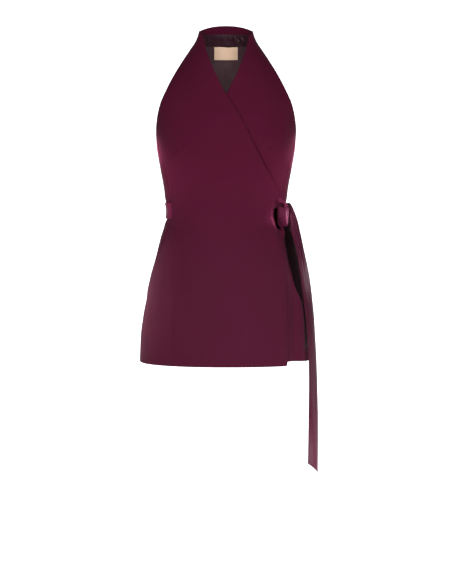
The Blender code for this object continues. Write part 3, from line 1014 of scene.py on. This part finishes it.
# The knot, a band round a core, narrows downwards and leans to the wearer's left. Its face falls back on
# both sides of a crest.
KNOT_CENTRE = np.array([115.8, -59.0, 298.0])
KNOT_TURN = 12.0
KNOT_HEIGHT = 36.2
KNOT_DEPTH = 12.5
KNOT_TOP_WIDTH = 21.0
KNOT_BOTTOM_WIDTH = 8.5
KNOT_LEAN = 3.0
KNOT_CREST = 0.2
KNOT_FACE_DROP = 4.4
KNOT_SQUARENESS = 3.4
BAND_EDGE = (0, 0.004, 0.015, 0.035, 0.07)
CORE_EDGE = (0, 0, 0.01, 0.04, 0.1)
CORE_INSETS = (2.5, 1.2, 0.6, 0.2, 0.05)
CORE_LENGTH = 0.92

# The belt, and its way into the knot: along the knot, out from it, share of the width, and height.
BELT_ROWS = 45
BELT_STATIONS = 40
BELT_IN_KNOT = [(8, -8.2, 0.5, -5), (9, -12.5, 0.6, -3), (8, -20, 0.8, 4)]
# Its way in at the slot: degrees past it, and distance off the form, then off the face that it lies on.
BELT_AT_SLOT = (-2, -1.0)
BELT_IN_SLOT = [(0.6, 0.6), (4, 0.0)]
BELT_END_BACK = 0.4
# Its upper half leans out by this share just before the slot.
BELT_PROUD = 0.13
CRIMPS = table(
    "start lean depth",
    (40, 0.9, 1.0), (75, -0.7, -0.8), (120, 0.8, 0.9), (175, -0.6, 0.8), (230, 0.7, -0.7), (285, 0.9, 0.9),
    (330, -0.8, 0.8), (352, 0.5, 0.9), (20, 0.2, 1.2),
)
BELT_INSIDE = 100

# The short tie: its heights at the over front's edge, and its end along the knot.
TAB_HEIGHTS = (328.0, 337.5)
TAB_REACH = (6.0, 4.5)
TAB_BULGE = (2, -2, 1)
TAB_COLUMNS = 41

# The hanging end: its middle line, width, and turn towards the wearer's left. It is cut on a slant, and its
# inner side folds back beside the knot.
TAIL_LOW = -226.0
TAIL_TOP = 325.5
TAIL = table(
    "height x y width turn",
    (-226, 176, -35, 32, 48.5), (-115, 177, -35, 32, 50.5), (-50, 176.6, -35, 32, 56),
    (4, 175.4, -35, 32, 58.5), (47, 173, -35, 32, 58.5), (88, 170.3, -35, 32, 57),
    (120, 166.8, -35, 32, 55), (163, 161.5, -36, 32, 53.5), (190, 157.3, -36, 31.5, 55),
    (230, 149.6, -37, 31, 59), (255, 143.8, -38.5, 29.5, 54), (279, 137.1, -40, 27, 41),
    (291, 134.9, -41, 23, 35), (303, 132.5, -42, 17.4, 29), (313, 129, -43, 15.4, 21),
    (319, 127.5, -43.5, 12.5, 18), (323, 126.8, -44, 8.5, 15), (325.5, 126.2, -44, 4.5, 12),
)
TAIL_ZONES = [(TAIL_LOW + SEAM_GAP / 2, 120, 5), (120, 250, 3.5), (250, TAIL_TOP - SEAM_GAP / 2, 1.6)]
TAIL_CUT = 22.0
TAIL_CUT_OVER = 36.0
TAIL_CURL = 2.5
TAIL_GATHERS = (120, 290)
TAIL_FOLD = 22.0
TAIL_FOLD_HEIGHTS = (258, 268)
# What lies nearer the middle than this x folds back, and a little more below the knot.
BESIDE_KNOT = 128.6
BESIDE_BELOW = (2.6, 270, 296)
# Pleats, by their share of the width and its drift for each mm up.
PLEATS = table(
    "share drift width depth",
    (-0.28, -0.0004, 0.07, 1.3), (-0.12, 0, 0.08, -1.0), (0.08, 0.0006, 0.07, 1.4), (0.25, 0, 0.07, -0.9),
    (0.38, 0, 0.05, 0.7),
)


def knot_place(along, out, up):
    """A point by its distance along the knot, out from the body and up."""
    turn = math.radians(KNOT_TURN)
    axis = np.array([math.cos(turn), math.sin(turn), 0])
    outward = np.array([math.sin(turn), -math.cos(turn), 0])
    parts = [np.asarray(value, float)[..., None] for value in (along, out, up)]
    return KNOT_CENTRE + parts[0] * axis + parts[1] * outward + parts[2] * np.array([0, 0, 1])


def knot_outline(turn, margin):
    """How far out and up the knot reaches at a turn, inside its outline by a margin."""
    sine, cosine = np.sin(turn), np.cos(turn)
    out = signed_power(cosine, 2 / KNOT_SQUARENESS) * (KNOT_DEPTH / 2 - margin)
    up = signed_power(sine, 2 / KNOT_SQUARENESS) * (KNOT_HEIGHT / 2 - margin)
    return out, up


def knot_drop(across, out):
    off = across - KNOT_CREST
    fall = np.where(off < 0, -off / (1 + KNOT_CREST), off / (1 - KNOT_CREST))
    return KNOT_FACE_DROP * fall * np.clip(out / (KNOT_DEPTH / 2), 0, 1)


def knot_layer(across, out, up, puff):
    """Points of the band or the core, puffed out a little."""
    down = np.clip(0.5 - up / KNOT_HEIGHT, 0, 1)
    narrower = (KNOT_TOP_WIDTH - KNOT_BOTTOM_WIDTH) * down**2.6
    along = (KNOT_TOP_WIDTH - narrower) / 2 * across + KNOT_LEAN * down**3
    grow = 1 + puff / np.maximum(np.hypot(out, up), 1)
    return knot_place(along, out * grow - knot_drop(across, out), up * grow)[:, ::-1]


def knot_band():
    around = np.linspace(0, 2 * np.pi, 120, endpoint=False)
    turn, share = np.meshgrid(around, shares(BAND_EDGE, inner=0.11, count=27))
    out, up = knot_outline(turn, -SATIN / 2)
    swell = 0.3 * bell(share - 0.4 + 0.05 * np.sin(up / 6), 0.05)
    swell += 0.3 * np.sin(up / 5 + share * 4) * (1 - share)
    shell("knot_band", knot_layer(2 * share - 1, out, up, swell), SATIN, KNOT_SATIN_PAINTED_SHADE, True)


def knot_core():
    """The bundle inside the band, drawn in at both ends."""
    around = np.linspace(0, 2 * np.pi, 96, endpoint=False)
    turn, share = np.meshgrid(around, shares(CORE_EDGE, inner=0.18, count=16))
    inset = np.array([*CORE_INSETS, *[0] * 16, *CORE_INSETS[::-1]])
    folds = 0.5 * np.sin(5 * turn + 0.8) + 0.35 * np.sin(9 * turn)
    out, up = knot_outline(turn, SATIN + SEAM_GAP + 0.5)
    points = knot_layer(CORE_LENGTH * (2 * share - 1), out, up, folds - 0.5 - inset[:, None])
    tube("knot_core", points, KNOT_SATIN_PAINTED_SHADE)


def smooth_path(points, count):
    """Even points along smooth curves through the given ones."""
    points = np.asarray(points, float)
    knots = lengths(points[:, 0], 0)
    slopes = np.gradient(points, knots, axis=0)
    return smooth(knots, points, slopes, np.linspace(0, knots[-1], count)).transpose(1, 0, 2)


def belt_grid():
    """The long tie's middle: from the knot round the back, in at the slot, and to its end inside."""
    inner = under_layer(-90.0) + CLOTH - SATIN
    first = float(side_seam(BELT_HEIGHT))
    slot = 360 - first
    round_back = np.linspace(first, slot - SLOT_BACK, BELT_STATIONS)[1:]
    path_stations = [(station, BELT_GAP) for station in round_back]
    path_stations.append((slot + BELT_AT_SLOT[0], BELT_AT_SLOT[1]))
    path_stations += [(slot + degrees, inner + out) for degrees, out in BELT_IN_SLOT]
    path_stations.append((360 - float(wrap_angle(SLOT_FOOT)) - BELT_END_BACK, inner))
    rise = np.linspace(-1, 1, BELT_ROWS)
    rise = np.sign(rise) * (1 - (1 - np.abs(rise)) ** 1.25)
    up = rise * (BELT_WIDTH - SEAM_GAP) / 2
    path = [knot_place(along, out, up * share + lift) for along, out, share, lift in BELT_IN_KNOT]
    for station, offset in path_stations:
        lean = form_point(station, BELT_HEIGHT + up) - form_point(station, BELT_HEIGHT)
        proud = BELT_PROUD * between(station, slot - 16, slot - 4, 6) * np.maximum(up, 0)
        lean = lean + form_normal(station, BELT_HEIGHT) * proud[:, None]
        path.append(on_form(station, BELT_HEIGHT, offset) + lean)
    return smooth_path(path, count=330)


def crimped(along, rows):
    """The satin's crimps, which fade out at the knot and inside the slot."""
    up = np.linspace(-1, 1, rows)[:, None]
    relief = np.zeros(along.shape)
    for i, crimp in enumerate(CRIMPS):
        off = along - crimp.start - crimp.lean * 16 * up - 3 * np.sin(up * 2 + i)
        relief += crimp.depth * bell(off, 4.5) * (0.5 + 0.5 * np.cos(up * 2.2 + i))
    return np.maximum(relief * between(along, 12, along.max() - BELT_INSIDE, 12), 0)


def belt():
    grid = belt_grid()
    along = lengths(grid, 1)
    angle, height = np.degrees(np.arctan2(grid[..., 0], -grid[..., 1])) % 360, grid[..., 2]
    follow = drape(angle, height) + tucked(angle, height, SLOT_TUCKS)
    follow *= between(along, 60, along.max() - BELT_INSIDE, 30)
    relief = crimped(along, grid.shape[0]) + follow
    shell("belt", grid + grid_normals(grid) * relief[..., None], SATIN, TIE_SATIN)


def tie_tab():
    """The short tie, pleated on its way to the knot."""
    low, high = (on_form(wrap_angle(h) + 0.8, h, over_layer(90.0)) for h in TAB_HEIGHTS)
    share = np.linspace(0, 1, 21)
    top = KNOT_HEIGHT / 2 + 2 * SATIN
    ends = knot_place(TAB_REACH[0] + TAB_REACH[1] * share, -1.5, top)
    start = low * (1 - share[:, None]) + high * share[:, None]
    middle = (start + ends) / 2 + np.array(TAB_BULGE)
    path = [start, (start + middle) / 2, middle, (middle + ends) / 2, ends]
    grid = smooth_path(path, TAB_COLUMNS)
    pleats = np.sin(3 * np.pi * share)[:, None] * np.sin(np.linspace(0, np.pi, TAB_COLUMNS))
    relief = SATIN / 2 + 0.5 * pleats
    shell("tie_tab", grid + grid_normals(grid) * relief[..., None], SATIN, TIE_SATIN)


def tail_relief(share, height, width):
    """The tail curls, is pleated where it is gathered, and waves below that."""
    curl = TAIL_CURL * (1 - 4 * share**2) * width / BELT_WIDTH
    gather = eased(height, *TAIL_GATHERS)
    drift = height - TAIL_GATHERS[1]
    pleats = sum(p.depth * bell(share - p.share - p.drift * drift, p.width) for p in PLEATS)
    wave = 0.8 * np.sin(height / 37 + share * 3) * (1 - eased(height, 200, 300)) * (1 - 2 * np.abs(share))
    crease = 0.5 * bell(share - 0.18 + height * 0.0003, 0.06)
    return curl + gather * pleats + wave + crease * (1 - gather)


def tie_tail():
    """The long tie's hanging end, gathered under the knot and cut on a slant."""
    v = row_heights(TAIL_ZONES)
    height = v[:, None]
    share = odd(shares(np.array(EDGE_LINES) / BELT_WIDTH, inner=0.11, count=45))[None, :] - 0.5
    x, y, width, turn = (curve(TAIL, name, height) for name in ("x", "y", "width", "turn"))
    sine, cosine, zero = np.sin(np.radians(turn)), np.cos(np.radians(turn)), np.zeros(turn.shape)
    along, outward = np.stack([cosine, sine, zero], -1), np.stack([sine, -cosine, zero], -1)
    relief = tail_relief(share, height, width) + SATIN / 2
    points = np.stack([x, y, height], -1) + along * (width * share)[..., None] + outward * relief[..., None]
    points[..., 2] += TAIL_CUT * (0.5 - share) * np.clip(1 - (height - v[0]) / TAIL_CUT_OVER, 0, 1)
    below = BESIDE_BELOW[0] * (1 - eased(height, *BESIDE_BELOW[1:]))
    behind = 1 - eased(points[..., 0] - BESIDE_KNOT - below, -1, 1)
    points[..., 1] += TAIL_FOLD * behind * eased(height, *TAIL_FOLD_HEIGHTS)
    shell("tie_tail", points, SATIN, TAIL_SATIN_PAINTED_SHADE)


knot_band()
knot_core()
belt()
tie_tab()
tie_tail()

# ---- sheets

CUTS = table(
    "piece flat held rests_on area",
    ("front_right", (0.36, 0.74), "stretched", ["front_left"], 0.163),
    ("front_left", (0.33, 0.73), "stretched", ["belt"], 0.149),
    ("back", (0.52, 0.66), "stretched", ["back_lining"], 0.263),
    ("back_lining", (0.52, 0.66), "stretched", ["back"], 0.260),
    ("collar", (0.185, 0.045), "stretched", ["neck_lining"], 0.0066),
    ("neck_lining", (0.185, 0.027), "gathered", ["collar"], 0.0046),
    ("label", (0.051, 0.027), "laid", ["back_lining"], 0.00137),
    ("belt", (0.44, 0.032), "stretched", ["back"], 0.0139),
    ("knot_band", (0.09, 0.021), "folded", ["knot_core"], 0.0016),
    ("tie_tab", (0.019, 0.01), "gathered", ["front_right"], 0.00018),
    ("tie_tail", (0.032, 0.56), "hung", ["knot_core"], 0.0165),
)

# ---- studio

FLOOR_HEIGHT = -1.55
FLOOR_SIZE = 40
# The floor's glow grows between these distances behind its middle.
FLOOR_GLOWS = (0.2, 1.4)
# Half width, distance behind the middle, lower and upper heights.
BACKDROP = (2.0, 4.7, FLOOR_HEIGHT, 1.6)
CORNERS = ((-1, -1), (1, -1), (1, 1), (-1, 1))
# The walls' light at both ends and at the sides, and where it changes.
END_WALL = 0.06
SIDE_WALL = 0.25
WALL_TURNS = (0.15, 0.95)
PAPER = 0.8
FLOOR_PAPER = 0.78
CAMERA_PLACE = (0, -3500, 392)
FOCAL_IN_PIXELS = 1707
IMAGE_HEIGHT = 584
TILT_PIXELS = 42
SHIFT_PIXELS = 80
SENSOR = 36.0
# Lights: sizes in metres, power in watts and spread in degrees.
SOFTBOXES = table(
    "name start target size power spread",
    ("left_key", (-640, -2700, 1050), (0, 0, 360), (0.6, 1.4), 29, 180),
    ("right_key", (640, -2700, 1050), (0, 0, 360), (0.6, 1.4), 31, 180),
    ("left_low", (-1000, -2100, -400), (0, 0, 100), (0.8, 0.4), 8, 180),
    ("right_low", (1000, -2100, -400), (0, 0, 100), (0.8, 0.4), 11, 180),
    ("knot_light", (500, -150, 330), (121, -60, 298), (0.02, 0.02), 0.0105, 6),
    ("tail_streak", (900, 250, 240), (162, -32, 180), (0.05, 0.05), 0.0065, 7),
    ("neck_light", (0, 25, 520), (0, 70, 576), (0.04, 0.04), 0.008, 120),
    ("right_rim", (-450, 60, 437), (-141, -14, 433), (0.03, 0.03), 0.04, 13),
    ("left_rim", (450, 60, 437), (141, -14, 433), (0.03, 0.03), 0.04, 13),
    ("right_waist", (-450, -150, 380), (-130, -35, 375), (0.08, 0.08), 0.036, 30),
    ("left_waist", (450, -150, 380), (130, -35, 375), (0.08, 0.08), 0.036, 30),
    ("right_hip", (-520, 160, 130), (-165, 0, 115), (0.2, 0.2), 0.23, 32),
    ("tail_light", (1000, 200, -250), (176, 0, -150), (0.4, 0.5), 1.7, 180),
    ("tail_end", (400, -120, -240), (176, -35, -180), (0.08, 0.08), 0.19, 90),
)


def place(millimetres):
    return (Vector(millimetres) - Vector(ORIGIN)) * MM


def lit_floor():
    made, tree, shader = shaded("floor_paper")
    coordinates = add_node(tree, "TexCoord", {})["Object"]
    back = add_node(tree, "SeparateXYZ", {0: coordinates})["Y"]
    look = {
        "Base Color": (FLOOR_PAPER, FLOOR_PAPER, FLOOR_PAPER, 1),
        "Roughness": 1,
        "Specular IOR Level": 0,
        "Emission Color": WHITE,
        "Emission Strength": spread(tree, back, *FLOOR_GLOWS, kind="SMOOTHSTEP"),
    }
    wire(tree, shader, look)
    return made


def lit_world():
    """The studio's walls: pale at both sides, dimmer at both ends."""
    made = bpy.data.worlds.new("studio")
    made.use_nodes = True
    tree = made.node_tree
    coordinates = add_node(tree, "TexCoord", {})["Generated"]
    sideways = math_node(tree, "ABSOLUTE", add_node(tree, "SeparateXYZ", {0: coordinates})["X"])
    strength = spread(tree, sideways, *WALL_TURNS, END_WALL, SIDE_WALL, "SMOOTHSTEP")
    wire(tree, tree.nodes["Background"], {"Color": WHITE, "Strength": strength})
    return made


def glowing(name, strength):
    made, tree, shader = shaded(name)
    look = {"Base Color": (PAPER, PAPER, PAPER, 1), "Specular IOR Level": 0}
    wire(tree, shader, {**look, "Emission Color": WHITE, "Emission Strength": strength})
    return made


def staged(name, corners, finish):
    mesh = bpy.data.meshes.new(name)
    mesh.from_pydata(corners, [], [(0, 1, 2, 3)])
    mesh.materials.append(finish)
    made = add_object(name, mesh)
    return made


def soft_light(name, start, target, size, power, spread):
    data = bpy.data.lights.new(name, "AREA")
    data.shape = "RECTANGLE"
    data.size, data.size_y = size
    data.energy = power
    data.spread = math.radians(spread)
    light = add_object(name, data)
    light.location = place(start)
    light.rotation_euler = (place(target) - light.location).to_track_quat("-Z", "Y").to_euler()
    light.visible_camera = False


floor = staged("floor", [(x * FLOOR_SIZE, y * FLOOR_SIZE, 0) for x, y in CORNERS], lit_floor())
floor.location = (0, 0, FLOOR_HEIGHT)
wide, deep, *heights = BACKDROP
staged("backdrop", [(x * wide, deep, heights[y > 0]) for x, y in CORNERS], glowing("backdrop_paper", 1.0))
bpy.context.scene.world = lit_world()
for box in SOFTBOXES:
    soft_light(*box)

camera_data = bpy.data.cameras.new("camera")
camera_data.lens = FOCAL_IN_PIXELS / IMAGE_HEIGHT * SENSOR
camera_data.sensor_width = SENSOR
camera_data.shift_y = -SHIFT_PIXELS / IMAGE_HEIGHT
camera = add_object("camera", camera_data)
camera.location = place(CAMERA_PLACE)
camera.rotation_euler = (math.pi / 2 - math.atan(TILT_PIXELS / FOCAL_IN_PIXELS), 0, 0)
bpy.context.scene.camera = camera
bpy.context.scene.view_settings.view_transform = "Standard"
